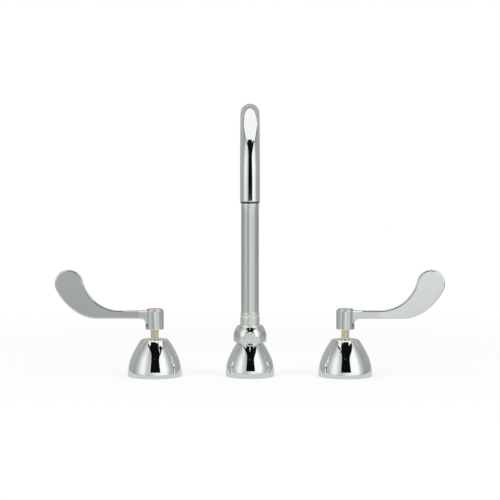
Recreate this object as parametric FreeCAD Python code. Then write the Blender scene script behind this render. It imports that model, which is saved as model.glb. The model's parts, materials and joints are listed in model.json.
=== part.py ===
import FreeCAD, Part
import math
import os

V = FreeCAD.Vector
ORIGIN = V(0, 0, 0)
UP = V(0, 0, 1)

# Every size is in millimetres. The counter's top is z = 0, the spout stands at x = 0, y = 0,
# the user stands at -Y, and the cold side is at +X.

# Layout
handle_spacing = 203.2       # the two valve axes, 8 inches apart
counter = 20.0               # thickness of the counter between the nuts above and below it
turning_gap = 0.05           # radial clearance of a shaft that turns in its bore
thread_gap = 0.05            # radial clearance drawn between a plain male and female thread
face_gap = 0.03              # between two faces that slide on each other
loose_gap = 0.3              # round a piece that passes another without touching it

# Gooseneck and its outlet
tube_od = 19.05
tube_wall = 1.2
reach = 136.5                # riser axis to outlet axis
bend_height = 206.5          # where the riser ends and the half-circle bend begins
outlet_drop = 22.7           # from there down to the outlet
lip_radius = 2.1             # outside radius of the rolled outlet edge
straightener_thickness = 3.0
straightener_hole = 2.0

# Collar brazed to the foot of the riser, and its spigot
collar_od = 20.6
collar_step = 62.9           # where the collar steps in to the thin ring round the tube
collar_ring_od = 19.9
collar_top = 68.0
collar_socket = 12.0         # how far the tube enters the collar
collar_flange_od = 22.4
collar_flange = 2.4
spigot_od = 15.8
spigot_length = 24.0
spigot_bore = 9.6
groove_width = 2.2
spout_ring_section = 1.4
swivel_washer_thickness = 1.0

# Spout nut: a hexagon under a turned dome
nut_flats = 31.75
nut_turned_od = 34.7
nut_washer_face_od = 28.8
nut_washer_face = 2.2
nut_dome_start = 3.2         # above the lower edge of the hexagon
nut_height = 19.6            # washer face to the rim round the collar
nut_rim_od = 26.2
nut_rim_round = 0.7
nut_dome_bulge = 1.3
nut_dome_chords = 4
nut_lip = 3.4                # the inward lip that holds the collar down

# Spout body and what hangs under the counter
spout_bell_od = 51.6
spout_bell_height = 34.6
spout_bell_top_od = 29.4
spout_bell_bulge = 2.9
shank_od = 26.4
neck_od = 24.0
neck_top = 47.0
spout_flange_od = 40.0
spout_flange = 5.0
gasket_thickness = 1.6
spout_waterway = 11.0
spout_shank_bottom = -50.0

# Valve bell
bell_od = 57.5
bell_height = 39.3
bell_top_od = 29.0
bell_bulge = 3.2
bell_wall = 1.8
bell_edge_round = 0.9
bell_chords = 6              # the bell's curve is turned as this many short cones
bell_hole_od = 10.6
rim_gasket_height = 3.0
rim_gasket_width = 2.6

# Clamping rings and nuts on the shanks
rubber_washer = 3.0
steel_washer = 1.5
washer_od = 38.0
lock_nut_flats = 36.0
lock_nut_height = 8.0
lock_nut_flange = 2.0
upper_nut_flange_od = 40.0
upper_nut_height = 7.5

# Valve body
valve_shank_top = 16.0
valve_shank_bottom = -48.0
valve_block_od = 30.0
valve_block_height = 22.0
inlet_thread_od = 20.9
inlet_thread_length = 16.0
inlet_bore = 8.0
chamber_od = 19.4
chamber_floor = -14.0
return_bore = 4.0
return_offset = 9.0
port_thread_od = 14.3
port_reach = 30.0
port_shoulder_od = 19.0
port_shoulder_reach = 18.0
port_bore = 8.0
tee_socket_od = 33.0
tee_socket_depth = 10.0
tee_height = 22.0

# Quarter-turn cartridge
cartridge_od = 16.8
cartridge_land_od = 19.3
cartridge_land = 11.0
cartridge_flange_od = 24.8
cartridge_flange = 2.5
cartridge_neck_od = 12.0
cartridge_neck_top = 34.0
cartridge_bore = 14.0
land_groove_from_top = 5.0
land_ring_section = 1.5
disc_thickness = 3.2
seal_height = 2.5
seal_bore = 8.6
port_angle = 80.0            # each of the two water openings in the fixed disc
wing_angle = 96.0            # each of the two wings of the moving disc
port_radius = 4.1
disc_hub_radius = 1.7
key_width = 2.4
key_depth = 1.2
stop_angle = 60.0            # the rib in the cartridge that the stem stops against
turn_angle = 90.0
stop_slack_angle = 1.0       # left at each end of the turn

# Stem
stem_od = 9.0
stem_head = 4.4
stem_ring_section = 1.15
stem_ring_heights = (9.0, 22.0)
spline_tip_od = 8.6
spline_root_od = 7.5
spline_teeth = 18
spline_start = 37.2
spline_gap = 0.05
clip_thickness = 0.9
clip_od = 11.4
clip_groove_od = 7.6

# Bonnet nut
bonnet_flats = 31.0
bonnet_skirt_bottom = 9.2
bonnet_hex_top = 23.0
bonnet_neck_od = 17.0
bonnet_neck_top = 36.6
boss_od = 22.0
boss_length = 9.0

# Lever handle
hub_od = 19.5
hub_bottom = 50.0
hub_height = 20.4
hub_socket = 12.6
hub_edge_round = 0.8
arm_top = 70.1
arm_bottom = 61.0
arm_fillet = 4.3
arm_end = 36.8               # where the upper edge begins to sweep up
sweep_radius = 41.0          # the upper edge's upward sweep
sweep_angle = 77.0
tip_radius = 14.9
tip_angle = 192.7
belly_radius = 59.5          # the lower edge from the tip, before it meets the arm in a last arc
belly_angle = 32.0
blade_thickness = 4.6
arm_thickness = 7.4
lug_width = 17.0
lug_start = 6.0              # from the valve's axis
lug_end = 17.0
lug_taper = 1.6
blade_edge_round = 1.5
screw_head_od = 8.4
screw_head = 2.6
screw_od = 3.9
screw_length = 12.0
counterbore_od = 10.4
counterbore_depth = 5.4
index_od = 17.0
index_height = 1.8
set_screw_od = 4.0
set_screw_height = 4.6       # above the hub's lower edge
set_screw_angle = -33.0      # from the arm, towards the user
hex_socket = 1.6

# Heights that follow from the sizes above
tube_r = tube_od / 2
outlet_height = bend_height - outlet_drop
tube_bore_r = tube_r - tube_wall
shank_r = shank_od / 2
nut_bottom = spout_bell_height
nut_top = nut_bottom + nut_height
hex_bottom = nut_bottom + nut_washer_face
flange_bottom = neck_top + swivel_washer_thickness + face_gap
flange_top = flange_bottom + collar_flange
spigot_bore_r = spigot_od / 2 + turning_gap
washers_bottom = -counter - rubber_washer - steel_washer
disc_face = chamber_floor + seal_height + disc_thickness
moving_disc_top = disc_face + face_gap + disc_thickness
head_bottom = moving_disc_top + face_gap
head_top = head_bottom + stem_head
cartridge_bottom = chamber_floor + seal_height - 1.0
cartridge_shoulder = head_top + face_gap
flange_seat = valve_shank_top
bonnet_shoulder = flange_seat + cartridge_flange
hub_top = hub_bottom + hub_height
stem_top = hub_bottom + hub_socket - loose_gap
screw_seat = hub_top - counterbore_depth
spout_bell_form = (spout_bell_od, spout_bell_height, spout_bell_top_od, spout_bell_bulge)
valve_bell_form = (bell_od, bell_height, bell_top_od, bell_bulge)


def outline(*marks):
    """A flat face in the XZ plane. A mark is a corner (x, z), or an arc's middle and end (x, z, x, z)."""
    start = last = V(marks[0][0], 0, marks[0][1])
    edges = []
    for mark in marks[1:]:
        end = V(mark[-2], 0, mark[-1])
        if len(mark) == 4:
            edges.append(Part.Arc(last, V(mark[0], 0, mark[1]), end).toShape())
        else:
            edges.append(Part.LineSegment(last, end).toShape())
        last = end
    if last.distanceToPoint(start) > 1e-6:
        edges.append(Part.LineSegment(last, start).toShape())
    return Part.Face(Part.Wire(edges))


def one_solid(shape):
    """The single solid of a shape, its faces merged and pointing outwards."""
    solid = shape.removeSplitter().Solids[0]
    if solid.Volume < 0:
        solid.reverse()
    return solid


def turned(*marks):
    """A piece turned about the Z axis from its half section."""
    return one_solid(outline(*marks).revolve(ORIGIN, UP, 360))


def disc(diameter, bottom, top):
    return Part.makeCylinder(diameter / 2, top - bottom, V(0, 0, bottom))


def ring(outer, inner, bottom, top):
    return disc(outer, bottom, top).cut(disc(inner, bottom, top))


def wedge(radius, start_angle, angle, bottom, top):
    """A slice of a cylinder about Z, from one azimuth through an angle in degrees."""
    piece = Part.makeCylinder(radius, top - bottom, V(0, 0, bottom), UP, angle)
    piece.rotate(ORIGIN, UP, start_angle)
    return piece


def hexagon(flats, bottom, top):
    """A hexagonal bar with two of its flats facing the user and the wall."""
    corner = flats / math.sqrt(3)
    points = [V(corner * math.cos(math.radians(60 * i)), corner * math.sin(math.radians(60 * i)), bottom)
              for i in range(7)]
    return Part.Face(Part.makePolygon(points)).extrude(V(0, 0, top - bottom))


def o_ring(middle_radius, section, height):
    """A rubber ring about the Z axis, squeezed flat where it meets its groove and its bore."""
    marks = []
    for corner in range(6):
        turn = math.radians(60 * corner + 30)
        squeeze = math.cos(math.radians(30))
        reach = section / 2 * math.cos(turn) / squeeze
        marks.append((middle_radius + reach, height + section / 2 * math.sin(turn)))
    return turned(*marks)


def bulged(low, high, bulge, chords):
    """Short chords from one (radius, height) point to another, along an arc that stands out by the bulge."""
    start, end = V(low[0], 0, low[1]), V(high[0], 0, high[1])
    run = end - start
    middle = (start + end) / 2 + V(run.z, 0, -run.x) * (bulge / run.Length)
    arc = Part.Arc(start, middle, end)
    first, last = arc.FirstParameter, arc.LastParameter
    points = [arc.value(first + (last - first) * i / chords) for i in range(chords + 1)]
    return [(point.x, point.z) for point in points]


def groove(floor_r, outside_r, middle):
    """What a lathe takes out for a sealing ring."""
    low, high = middle - groove_width / 2, middle + groove_width / 2
    return ring(2 * outside_r + 1, 2 * floor_r, low, high)


# Gooseneck and its outlet

def gooseneck():
    """Riser, half-circle bend and outlet leg of one drawn tube, its end rolled inwards."""
    foot = collar_top - collar_socket
    circles = [Part.makeCircle(r, V(0, 0, bend_height)) for r in (tube_r, tube_bore_r)]
    outer, inner = [Part.Face(Part.Wire(circle)) for circle in circles]
    section = outer.cut(inner).Faces[0]
    riser = section.extrude(V(0, 0, foot - bend_height))
    bend = section.revolve(V(0, -reach / 2, bend_height), V(1, 0, 0), 180)
    lip_top = outlet_height + lip_radius
    lip_inside = lip_radius - tube_wall
    diagonal = math.sqrt(0.5)
    leg = turned(
        (tube_bore_r, bend_height), (tube_r, bend_height), (tube_r, lip_top),
        (tube_r - lip_radius + lip_radius * diagonal, lip_top - lip_radius * diagonal,
         tube_r - lip_radius, outlet_height),
        (tube_r - lip_radius, outlet_height + tube_wall),
        (tube_bore_r - lip_inside + lip_inside * diagonal, lip_top - lip_inside * diagonal,
         tube_bore_r, lip_top))
    leg.translate(V(0, -reach, 0))
    return one_solid(riser.fuse([bend, leg]))


def flow_straightener():
    """The drilled disc that rests on the rolled lip and steadies the stream."""
    bottom = outlet_height + lip_radius
    plate = disc(2 * (tube_bore_r - turning_gap), bottom, bottom + straightener_thickness)
    holes = [V(0, 0, bottom)]
    for count, radius in ((6, tube_bore_r * 0.36), (12, tube_bore_r * 0.7)):
        for i in range(count):
            turn = math.radians(360 * i / count)
            holes.append(V(radius * math.cos(turn), radius * math.sin(turn), bottom))
    drills = [Part.makeCylinder(straightener_hole / 2, straightener_thickness, hole) for hole in holes]
    plate = one_solid(plate.cut(drills))
    plate.translate(V(0, -reach, 0))
    return plate


def spout_ring_heights():
    return [flange_bottom - spigot_length * share for share in (0.35, 0.72)]


def spout_collar():
    """Foot of the gooseneck: a socket for the tube, a flange under the nut's lip, and a sealed spigot."""
    chamfer = 0.6
    shoulder = collar_top - collar_socket
    r, flange_r, spigot_r, bore_r = collar_od / 2, collar_flange_od / 2, spigot_od / 2, spigot_bore / 2
    ring_r = collar_ring_od / 2
    body = turned(
        (bore_r, flange_bottom - spigot_length), (spigot_r - chamfer, flange_bottom - spigot_length),
        (spigot_r, flange_bottom - spigot_length + chamfer), (spigot_r, flange_bottom),
        (flange_r, flange_bottom), (flange_r, flange_top), (r, flange_top),
        (r, collar_step - chamfer / 2), (ring_r, collar_step), (ring_r, collar_top - chamfer),
        (tube_r, collar_top), (tube_r, shoulder), (tube_bore_r, shoulder),
        (bore_r, shoulder - (tube_bore_r - bore_r)))
    floor = spigot_bore_r - spout_ring_section - 2 * turning_gap
    return one_solid(body.cut([groove(floor, spigot_r, height) for height in spout_ring_heights()]))


def spout_o_rings():
    """The two sealing rings in the spigot's grooves."""
    middle = spigot_bore_r - turning_gap - spout_ring_section / 2
    rings = [o_ring(middle, spout_ring_section, height) for height in spout_ring_heights()]
    return Part.makeCompound(rings)


def swivel_washer():
    """The slippery washer that carries the collar on the neck."""
    return ring(neck_od - 2, 2 * spigot_bore_r + loose_gap, neck_top, neck_top + swivel_washer_thickness)


def spout_nut():
    """Hexagon with a round washer face below and a turned dome above, holding the collar's flange."""
    rim_r, turned_r = nut_rim_od / 2, nut_turned_od / 2
    dome_low, dome_high = (turned_r, hex_bottom + nut_dome_start), (rim_r, nut_top - nut_rim_round)
    dome = bulged(dome_low, dome_high, nut_dome_bulge, nut_dome_chords)
    blank = turned(
        (0, hex_bottom), (turned_r - 0.8, hex_bottom), (turned_r, hex_bottom + 0.8), *dome,
        (rim_r - nut_rim_round, nut_top), (0, nut_top))
    body = blank.common(hexagon(nut_flats, hex_bottom, nut_top))
    body = body.fuse(disc(nut_washer_face_od, nut_bottom, hex_bottom))
    thread = disc(neck_od + 2 * thread_gap, nut_bottom, nut_top - nut_lip)
    hole = disc(collar_od + 2 * loose_gap, nut_bottom, nut_top)
    return one_solid(body.cut([thread, hole]))


# Bells

def bell(diameter, height, top_diameter, bulge):
    """Half-section marks of a spun bell: its skin from rim to flat top, and its inside from top to rim."""
    low, high = (diameter / 2, 0), (top_diameter / 2, height - bell_edge_round)
    skin = bulged(low, high, bulge, bell_chords) + [(high[0] - bell_edge_round, height)]
    under_top = (high[0] - bell_wall, height - bell_wall)
    inside = bulged((low[0] - bell_wall, 0), under_top, bulge, bell_chords // 2)
    return skin, inside[::-1]


def spout_bell():
    """Escutcheon under the spout nut: a spun bell whose top is clamped by the nut's washer face."""
    skin, inside = bell(*spout_bell_form)
    hole_r = neck_od / 2 + loose_gap
    return turned(*skin, (hole_r, spout_bell_height), (hole_r, inside[0][1]), *inside)


def valve_bell():
    """Escutcheon of a valve: a spun bell with a threaded boss under its top and a hole for the stem."""
    skin, inside = bell(*valve_bell_form)
    hole_r, boss_r = bell_hole_od / 2, boss_od / 2
    thread_r = bonnet_neck_od / 2 + thread_gap
    top, boss_bottom = bell_height - bell_wall, bell_height - bell_wall - boss_length
    return turned(*skin, (hole_r, bell_height), (hole_r, top), (thread_r, top), (thread_r, boss_bottom),
                  (boss_r, boss_bottom), (boss_r, top), *inside)


def rim_gasket(diameter, height, top_diameter, bulge):
    """The foam ring inside a bell's rim that keeps water off the hole in the counter."""
    (upper_r, upper), (rim_r, _) = bell(diameter, height, top_diameter, bulge)[1][-2:]
    top_r = rim_r + (upper_r - rim_r) * rim_gasket_height / upper
    inner = rim_r - rim_gasket_width
    return turned((inner, 0), (rim_r, 0), (top_r, rim_gasket_height), (inner, rim_gasket_height))


# Clamping pieces on a shank

def shank_gasket():
    return ring(spout_flange_od, shank_od + 2 * loose_gap, 0, gasket_thickness)


def rubber_ring():
    return ring(washer_od, shank_od + 2 * thread_gap, -counter - rubber_washer, -counter)


def steel_ring():
    return ring(washer_od, shank_od + 2 * loose_gap, washers_bottom, washers_bottom + steel_washer)


def flanged_nut(flats, flange_od, height, flange):
    """A hexagon nut standing on its round flange, for the shank's thread."""
    chamfer = 1.0
    corner_r = flats / math.sqrt(3)
    blank = turned((0, 0), (corner_r, 0), (corner_r, height - chamfer),
                   (corner_r - chamfer * 1.7, height), (0, height))
    body = blank.common(hexagon(flats, 0, height)).fuse(disc(flange_od, 0, flange))
    return one_solid(body.cut(disc(shank_od + 2 * thread_gap, 0, height)))


def lock_nut():
    """The nut that is drawn up under the counter, its flange against the steel washer."""
    nut = flanged_nut(lock_nut_flats, washer_od, lock_nut_height, lock_nut_flange)
    nut.rotate(ORIGIN, V(1, 0, 0), 180)
    nut.translate(V(0, 0, washers_bottom))
    return nut


# Spout body and tee

def spout_body():
    """Flange on the counter, threaded neck above for the spout nut, threaded shank below."""
    flange_low, flange_high = gasket_thickness, gasket_thickness + spout_flange
    seat = flange_bottom - spigot_length - 1.0
    bore_r, water_r, neck_r = spigot_bore_r, spout_waterway / 2, neck_od / 2
    chamfer = 0.8
    return turned(
        (water_r, spout_shank_bottom), (shank_r - chamfer, spout_shank_bottom),
        (shank_r, spout_shank_bottom + chamfer), (shank_r, flange_low),
        (spout_flange_od / 2, flange_low), (spout_flange_od / 2, flange_high - chamfer),
        (spout_flange_od / 2 - chamfer, flange_high), (neck_r, flange_high),
        (neck_r, neck_top), (bore_r + 0.4, neck_top), (bore_r, neck_top - 0.4),
        (bore_r, seat), (water_r, seat - (bore_r - water_r)))


def side_port(direction):
    """A male hose port on a side of a body: shoulder, then thread, drilled through."""
    turn = V(direction, 0, 0)
    shoulder = Part.makeCylinder(port_shoulder_od / 2, port_shoulder_reach, ORIGIN, turn)
    thread = Part.makeCylinder(port_thread_od / 2, port_reach, ORIGIN, turn)
    bore = Part.makeCylinder(port_bore / 2, port_reach, ORIGIN, turn)
    return shoulder.fuse(thread), bore


def spout_tee():
    """The tee screwed on the shank's end, with a port for each valve's hose."""
    washer = gasket_thickness
    shoulder = spout_shank_bottom - washer
    port_level = shoulder - tee_height / 2
    body = hexagon(tee_socket_od, shoulder - 2, spout_shank_bottom + tee_socket_depth)
    body = body.fuse(disc(port_shoulder_od + 2, shoulder - tee_height, shoulder))
    holes = [disc(shank_od + 2 * thread_gap, shoulder, spout_shank_bottom + tee_socket_depth),
             disc(spout_waterway, port_level, shoulder)]
    for direction in (-1, 1):
        port, bore = side_port(direction)
        port.translate(V(0, 0, port_level))
        bore.translate(V(0, 0, port_level))
        body = body.fuse(port)
        holes.append(bore)
    return one_solid(body.cut(holes))


def tee_washer():
    return ring(shank_od - 1, spout_waterway, spout_shank_bottom - gasket_thickness, spout_shank_bottom)


# Valve body and cartridge. A valve is drawn for the cold side, its lever towards +X
# and its hose port towards the spout at -X.

def valve_body():
    """Shank with the cartridge chamber on top, inlet below and a return passage to the hose port."""
    block_bottom = valve_shank_bottom - valve_block_height
    inlet_bottom = block_bottom - inlet_thread_length
    block_r, inlet_r, chamfer = valve_block_od / 2, inlet_thread_od / 2, 1.0
    body = turned(
        (0, inlet_bottom), (inlet_r - chamfer, inlet_bottom), (inlet_r, inlet_bottom + chamfer),
        (inlet_r, block_bottom), (block_r - chamfer, block_bottom), (block_r, block_bottom + chamfer),
        (block_r, valve_shank_bottom - chamfer), (block_r - chamfer, valve_shank_bottom),
        (shank_r, valve_shank_bottom), (shank_r, valve_shank_top), (0, valve_shank_top))
    port_level = (valve_shank_bottom + block_bottom) / 2
    port, bore = side_port(-1)
    port.translate(V(0, 0, port_level))
    passage = Part.makeCylinder(return_bore / 2, chamber_floor - port_level,
                                V(-return_offset, 0, port_level))
    crossing = Part.makeCylinder(port_bore / 2, port_reach - return_offset + return_bore / 2,
                                 V(return_bore / 2 - return_offset, 0, port_level), V(-1, 0, 0))
    chamber = disc(chamber_od, chamber_floor, valve_shank_top)
    holes = [chamber, disc(inlet_bore, inlet_bottom, chamber_floor), passage, crossing]
    return one_solid(body.fuse(port).cut(holes))


def upper_nut():
    return flanged_nut(lock_nut_flats, upper_nut_flange_od, upper_nut_height, lock_nut_flange)


def seat_seal():
    """The rubber ring that presses the fixed disc up and seals it to the inlet."""
    return ring(cartridge_bore - 0.4, seal_bore, chamber_floor, chamber_floor + seal_height)


def fixed_disc():
    """Ceramic disc with two opposite water openings."""
    bottom = disc_face - disc_thickness
    body = disc(cartridge_bore - 2 * turning_gap, bottom, disc_face)
    ports = []
    for middle in (0, 180):
        port = wedge(port_radius, middle - port_angle / 2, port_angle, bottom, disc_face)
        ports.append(port.cut(disc(2 * disc_hub_radius, bottom, disc_face)))
    return one_solid(body.cut(ports))


def moving_disc():
    """Ceramic disc with two wings that cover the openings when the valve is shut."""
    bottom, r = disc_face + face_gap, cartridge_bore / 2 - 2 * turning_gap
    body = disc(2 * disc_hub_radius + 1, bottom, moving_disc_top)
    for middle in (0, 180):
        body = body.fuse(wedge(r, middle - wing_angle / 2, wing_angle, bottom, moving_disc_top))
    width = key_width + 2 * face_gap
    slot = Part.makeBox(2 * r + 2, width, key_depth + face_gap,
                        V(-r - 1, -width / 2, moving_disc_top - key_depth - face_gap))
    return one_solid(body.cut(slot))


def cartridge_body():
    """Brass housing: discs and stem head inside, windows for the water, flange on the shank's end."""
    r, land_r, bore_r = cartridge_od / 2, cartridge_land_od / 2, cartridge_bore / 2
    flange_r, neck_r, stem_r = cartridge_flange_od / 2, cartridge_neck_od / 2, stem_od / 2 + turning_gap
    land_bottom = flange_seat - cartridge_land
    body = turned(
        (bore_r, cartridge_bottom), (r, cartridge_bottom), (r, land_bottom), (land_r, land_bottom),
        (land_r, flange_seat), (flange_r, flange_seat), (flange_r, bonnet_shoulder),
        (neck_r, bonnet_shoulder), (neck_r, cartridge_neck_top), (stem_r, cartridge_neck_top),
        (stem_r, cartridge_shoulder), (bore_r, cartridge_shoulder))
    floor = chamber_od / 2 - land_ring_section - 2 * turning_gap
    cuts = [groove(floor, land_r, flange_seat - land_groove_from_top)]
    for middle in (90, 270):
        cuts.append(wedge(land_r, middle - 35, 70, disc_face, moving_disc_top - key_depth))
    rib = wedge(bore_r, 180 - stop_angle / 2, stop_angle, head_bottom, cartridge_shoulder)
    rib = rib.cut(disc(stem_od + 2 * turning_gap, head_bottom, cartridge_shoulder))
    return one_solid(body.cut(cuts).fuse(rib))


def cartridge_ring():
    """The ring that seals the cartridge in the chamber."""
    middle = chamber_od / 2 - turning_gap - land_ring_section / 2
    return o_ring(middle, land_ring_section, flange_seat - land_groove_from_top)


def bonnet_nut():
    """The nut that holds the cartridge down; its neck carries the bell."""
    skirt_r, hole_r = shank_r + thread_gap, cartridge_neck_od / 2 + loose_gap / 2
    chamfer, corner_r, neck_r = 1.0, bonnet_flats / math.sqrt(3), bonnet_neck_od / 2
    blank = turned(
        (skirt_r, bonnet_skirt_bottom), (corner_r - chamfer, bonnet_skirt_bottom),
        (corner_r, bonnet_skirt_bottom + chamfer), (corner_r, bonnet_hex_top - chamfer),
        (corner_r - 1.7 * chamfer, bonnet_hex_top), (neck_r, bonnet_hex_top), (neck_r, bonnet_neck_top),
        (hole_r, bonnet_neck_top), (hole_r, bonnet_shoulder), (skirt_r, bonnet_shoulder))
    return one_solid(blank.common(hexagon(bonnet_flats, bonnet_skirt_bottom, bonnet_neck_top)))


# Stem

def splines(extra, bottom, top):
    """A splined bar: straight-sided teeth round a core, larger all over by the extra radius."""
    points = []
    pitch = 360 / spline_teeth
    for tooth in range(spline_teeth):
        for share, diameter in ((-0.32, spline_root_od), (-0.14, spline_tip_od),
                                (0.14, spline_tip_od), (0.32, spline_root_od)):
            turn, r = math.radians((tooth + share) * pitch), diameter / 2 + extra
            points.append(V(r * math.cos(turn), r * math.sin(turn), bottom))
    return Part.Face(Part.makePolygon(points + points[:1])).extrude(V(0, 0, top - bottom))


def stem():
    """Brass stem: driving head with its quarter-turn stop, sealed shaft, and the splined end."""
    r, head_r = stem_od / 2, cartridge_bore / 2 - 2 * turning_gap
    clip_bottom = cartridge_neck_top + face_gap
    shaft = turned((0, head_bottom), (r, head_bottom), (r, spline_start - 0.4),
                   (r - 0.4, spline_start), (0, spline_start))
    gap_angle = stop_angle + turn_angle + 2 * stop_slack_angle
    head_start = 180 - stop_angle / 2 - stop_slack_angle + gap_angle
    head = wedge(head_r, head_start, 360 - gap_angle, head_bottom, head_top)
    key = Part.makeBox(2 * r, key_width, key_depth + 1, V(-r, -key_width / 2, head_bottom - key_depth))
    key = key.common(disc(stem_od, head_bottom - key_depth, head_top))
    body = shaft.fuse([head, key, splines(0, spline_start, stem_top)])
    cuts = [groove(r - stem_ring_section, r, height) for height in stem_ring_heights]
    cuts.append(ring(stem_od + 1, clip_groove_od, clip_bottom, clip_bottom + clip_thickness + 2 * face_gap))
    cuts.append(disc(screw_od + 2 * thread_gap, screw_seat - screw_length - 1, stem_top))
    return one_solid(body.cut(cuts))


def stem_o_rings():
    section = stem_ring_section - face_gap
    middle = stem_od / 2 - stem_ring_section / 2
    return Part.makeCompound([o_ring(middle, section, height) for height in stem_ring_heights])


def stem_clip():
    """The open spring ring that keeps the stem in its cartridge."""
    bottom = cartridge_neck_top + 2 * face_gap
    top = bottom + clip_thickness
    full_ring = ring(clip_od, clip_groove_od + 2 * face_gap, bottom, top)
    return one_solid(full_ring.cut(wedge(clip_od, 75, 30, bottom, top)))


# Lever handle

def arc_edge(start, heading, radius, turn):
    """An arc in the XZ plane from a point along a heading in degrees; a positive turn bends upwards."""
    side = 1 if turn > 0 else -1

    def at(angle):
        direction = math.radians(heading + angle)
        return centre + V(side * radius * math.sin(direction), 0, -side * radius * math.cos(direction))

    first = math.radians(heading)
    centre = start - V(side * radius * math.sin(first), 0, -side * radius * math.cos(first))
    return Part.Arc(start, at(turn / 2), at(turn)).toShape(), at(turn), heading + turn


def blade_side():
    """The lever seen from the user: arm, upward sweep, round tip, and the long lower edge in two arcs."""
    root = hub_od / 2
    bend = arm_fillet * (1 - math.sqrt(0.5))
    corner, low = V(0, 0, arm_top), arm_bottom - arm_fillet
    under, inner = V(root, 0, low), V(0, 0, low)
    point, heading = V(arm_end, 0, arm_top), 0
    edges = [Part.LineSegment(corner, point).toShape()]
    for radius, turn in ((sweep_radius, sweep_angle), (tip_radius, -tip_angle), (belly_radius, -belly_angle)):
        edge, point, heading = arc_edge(point, heading, radius, turn)
        edges.append(edge)
    left = heading + 180
    heel_radius = (point.z - arm_bottom) / (1 - math.cos(math.radians(left)))
    edge, heel, heading = arc_edge(point, heading, heel_radius, -left)
    fillet_start = V(root + arm_fillet, 0, arm_bottom)
    edges += [
        edge, Part.LineSegment(heel, fillet_start).toShape(),
        Part.Arc(fillet_start, V(root + bend, 0, arm_bottom - bend), under).toShape(),
        Part.LineSegment(under, inner).toShape(), Part.LineSegment(inner, corner).toShape()]
    return Part.Face(Part.Wire(edges))


def blade_plan():
    """The lever seen from above: a lug nearly as wide as the hub that narrows to the arm and the blade."""
    far = arm_end + 2 * sweep_radius + 2 * tip_radius
    half = [(0, lug_width / 2), (lug_start, lug_width / 2 - lug_taper), (lug_end, arm_thickness / 2),
            (arm_end, blade_thickness / 2), (far, blade_thickness / 2)]
    points = [V(x, -y, 0) for x, y in half] + [V(x, y, 0) for x, y in half[::-1]]
    return Part.Face(Part.makePolygon(points + points[:1]))


def lever():
    """Arm and blade: the side view carried across, cut to the plan view, with every long edge rounded."""
    across = blade_side().extrude(V(0, lug_width, 0))
    across.translate(V(0, -lug_width / 2, 0))
    up = blade_plan().extrude(V(0, 0, arm_top + 2 * sweep_radius + 2 * tip_radius))
    body = one_solid(across.common(up))
    outside = [edge for edge in body.Edges
               if edge.BoundBox.XMax > lug_end + 0.1 and edge.BoundBox.YLength < edge.Length / 2]
    return body.makeFillet(blade_edge_round, outside)


def set_screw_line():
    turn = math.radians(set_screw_angle)
    return V(0, 0, hub_bottom + set_screw_height), V(math.cos(turn), math.sin(turn), 0)


def handle():
    """One casting: hub, lug, arm and blade, broached for the stem's splines."""
    r, edge = hub_od / 2, hub_edge_round
    hub = turned((0, hub_bottom), (r - edge / 2, hub_bottom), (r, hub_bottom + edge / 2),
                 (r, hub_top - edge), (r - edge, hub_top), (0, hub_top))
    start, heading = set_screw_line()
    cuts = [splines(spline_gap, hub_bottom, hub_bottom + hub_socket),
            disc(screw_od + 2 * loose_gap, hub_bottom, hub_top),
            disc(counterbore_od, screw_seat, hub_top),
            Part.makeCylinder(set_screw_od / 2 + thread_gap, hub_od, start, heading)]
    return one_solid(hub.fuse(lever()).cut(cuts))


def handle_screw():
    """The screw down the middle of the hub into the stem."""
    r, head_r = screw_od / 2, screw_head_od / 2
    body = turned((0, screw_seat - screw_length), (r, screw_seat - screw_length), (r, screw_seat),
                  (head_r, screw_seat), (head_r, screw_seat + 0.5 * screw_head),
                  (0.6 * head_r, screw_seat + screw_head), (0, screw_seat + screw_head))
    cross = [Part.makeBox(5, 1, 1.4, V(-2.5, -0.5, screw_seat + screw_head - 1.4)),
             Part.makeBox(1, 5, 1.4, V(-0.5, -2.5, screw_seat + screw_head - 1.4))]
    return one_solid(body.cut(cross))


def index_button():
    """The coloured cap that snaps into the hub over the screw."""
    r, plug_r = index_od / 2, counterbore_od / 2 - face_gap
    plug_bottom = screw_seat + screw_head + 0.2
    return turned((0, plug_bottom), (plug_r, plug_bottom), (plug_r, hub_top), (r, hub_top),
                  (r, hub_top + 0.5 * index_height), (r - 0.5 * index_height, hub_top + index_height),
                  (0, hub_top + index_height))


def set_screw():
    """The small socket screw that bears on the stem's splines."""
    start, heading = set_screw_line()
    tip = spline_tip_od / 2 + face_gap
    length = hub_od / 2 - tip - 0.9
    socket = Part.makeCylinder(hex_socket / 2, 1.8, start + heading * (tip + length - 1.8), heading)
    return one_solid(Part.makeCylinder(set_screw_od / 2, length, start + heading * tip, heading).cut(socket))


def valve_pieces():
    """Every piece of one valve, named without its side."""
    return {
        "bell": valve_bell(), "bell_gasket": rim_gasket(*valve_bell_form), "upper_nut": upper_nut(),
        "valve_body": valve_body(), "rubber_washer": rubber_ring(), "steel_washer": steel_ring(),
        "lock_nut": lock_nut(), "seat_seal": seat_seal(), "fixed_disc": fixed_disc(),
        "moving_disc": moving_disc(), "cartridge_body": cartridge_body(),
        "cartridge_o_ring": cartridge_ring(), "bonnet_nut": bonnet_nut(), "stem": stem(),
        "stem_o_rings": stem_o_rings(), "stem_clip": stem_clip(), "handle": handle(),
        "handle_screw": handle_screw(), "index_button": index_button(), "set_screw": set_screw()}


def spout_pieces():
    return {
        "gooseneck": gooseneck(), "flow_straightener": flow_straightener(), "spout_collar": spout_collar(),
        "spout_o_rings": spout_o_rings(), "swivel_washer": swivel_washer(), "spout_nut": spout_nut(),
        "spout_bell": spout_bell(), "spout_bell_gasket": rim_gasket(*spout_bell_form),
        "spout_body": spout_body(), "spout_gasket": shank_gasket(), "spout_rubber_washer": rubber_ring(),
        "spout_steel_washer": steel_ring(), "spout_lock_nut": lock_nut(), "spout_tee": spout_tee(),
        "tee_washer": tee_washer()}


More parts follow.
